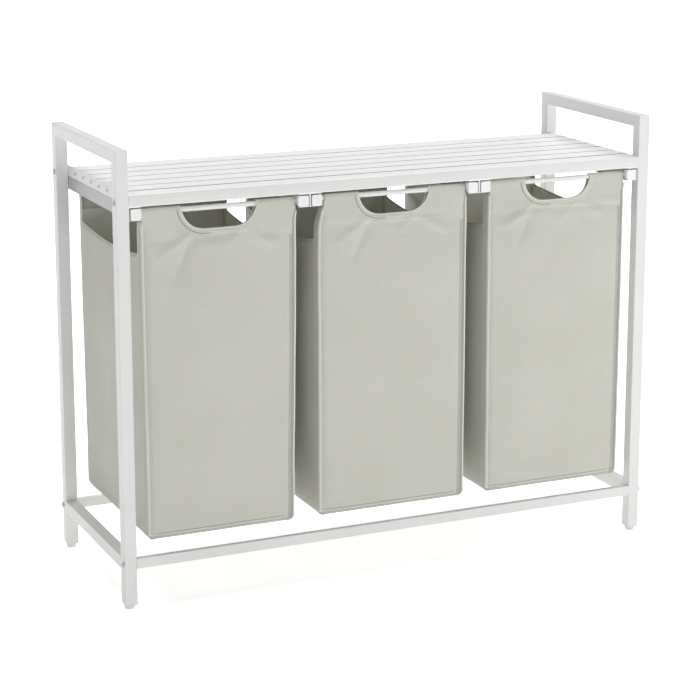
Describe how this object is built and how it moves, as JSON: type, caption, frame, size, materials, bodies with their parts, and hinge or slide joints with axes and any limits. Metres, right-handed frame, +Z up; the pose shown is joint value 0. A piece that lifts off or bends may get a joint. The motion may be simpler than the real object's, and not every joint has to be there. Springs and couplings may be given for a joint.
{
  "type": "laundry sorter",
  "caption": "Free-standing laundry sorter: a tube frame with side handles and a slatted shelf over fabric bags that pull out on channel rails.",
  "frame": {"origin": "on the floor, under the middle of the sorter", "axes": "+X to the right, +Y to the back, +Z up; the bags pull out along -Y"},
  "size_m": [0.929, 0.33, 0.72],
  "materials": {
    "frame_steel": "white satin powder coat",
    "rail_steel": "white satin powder coat on thin sheet",
    "shelf_board": "white satin lacquer",
    "bag_fabric": "plain-weave polyester canvas with a coated lining, light greige",
    "cap_plastic": "white moulded, fine texture",
    "foot_plastic": "white moulded glide",
    "fastener_steel": "zinc plated"
  },
  "bodies": {
    "frame": {"back_beam": "frame_steel", "bag_1_left_rail": "rail_steel", "bag_1_right_rail": "rail_steel", "bag_2_left_rail": "rail_steel", "bag_2_right_rail": "rail_steel", "bag_3_left_rail": "rail_steel", "bag_3_right_rail": "rail_steel", "front_beam": "shelf_board", "front_beam_inserts": "fastener_steel", "left_back_foot": "foot_plastic", "left_back_post": "frame_steel", "left_bearer": "frame_steel", "left_end_strip": "frame_steel", "left_frame_bolts": "fastener_steel", "left_front_foot": "foot_plastic", "left_front_post": "frame_steel", "left_handle": "frame_steel", "left_low_rail": "frame_steel", "left_slat_end_screws": "fastener_steel", "low_back_rail": "frame_steel", "low_front_rail": "frame_steel", "middle_left_bearer": "frame_steel", "middle_right_bearer": "frame_steel", "rail_inserts": "fastener_steel", "rail_screws": "fastener_steel", "right_back_foot": "foot_plastic", "right_back_post": "frame_steel", "right_bearer": "frame_steel", "right_end_strip": "frame_steel", "right_frame_bolts": "fastener_steel", "right_front_foot": "foot_plastic", "right_front_post": "frame_steel", "right_handle": "frame_steel", "right_low_rail": "frame_steel", "right_slat_end_screws": "fastener_steel", "slat_1": "shelf_board", "slat_2": "shelf_board", "slat_3": "shelf_board", "slat_4": "shelf_board", "slat_5": "shelf_board", "slat_6": "shelf_board"},
    "bag_1": {"bag_1_back_rod": "frame_steel", "bag_1_fabric": "bag_fabric", "bag_1_front_rod": "frame_steel", "bag_1_left_runner": "frame_steel", "bag_1_right_runner": "frame_steel", "bag_1_runner_caps": "cap_plastic"},
    "bag_2": {"bag_2_back_rod": "frame_steel", "bag_2_fabric": "bag_fabric", "bag_2_front_rod": "frame_steel", "bag_2_left_runner": "frame_steel", "bag_2_right_runner": "frame_steel", "bag_2_runner_caps": "cap_plastic"},
    "bag_3": {"bag_3_back_rod": "frame_steel", "bag_3_fabric": "bag_fabric", "bag_3_front_rod": "frame_steel", "bag_3_left_runner": "frame_steel", "bag_3_right_runner": "frame_steel", "bag_3_runner_caps": "cap_plastic"}
  },
  "joints": [
    {"name": "bag_1_slide", "type": "slide", "parent": "frame", "child": "bag_1", "axis": [0, -1, 0], "range_m": [0, 0.25]},
    {"name": "bag_2_slide", "type": "slide", "parent": "frame", "child": "bag_2", "axis": [0, -1, 0], "range_m": [0, 0.25]},
    {"name": "bag_3_slide", "type": "slide", "parent": "frame", "child": "bag_3", "axis": [0, -1, 0], "range_m": [0, 0.25]}
  ]
}
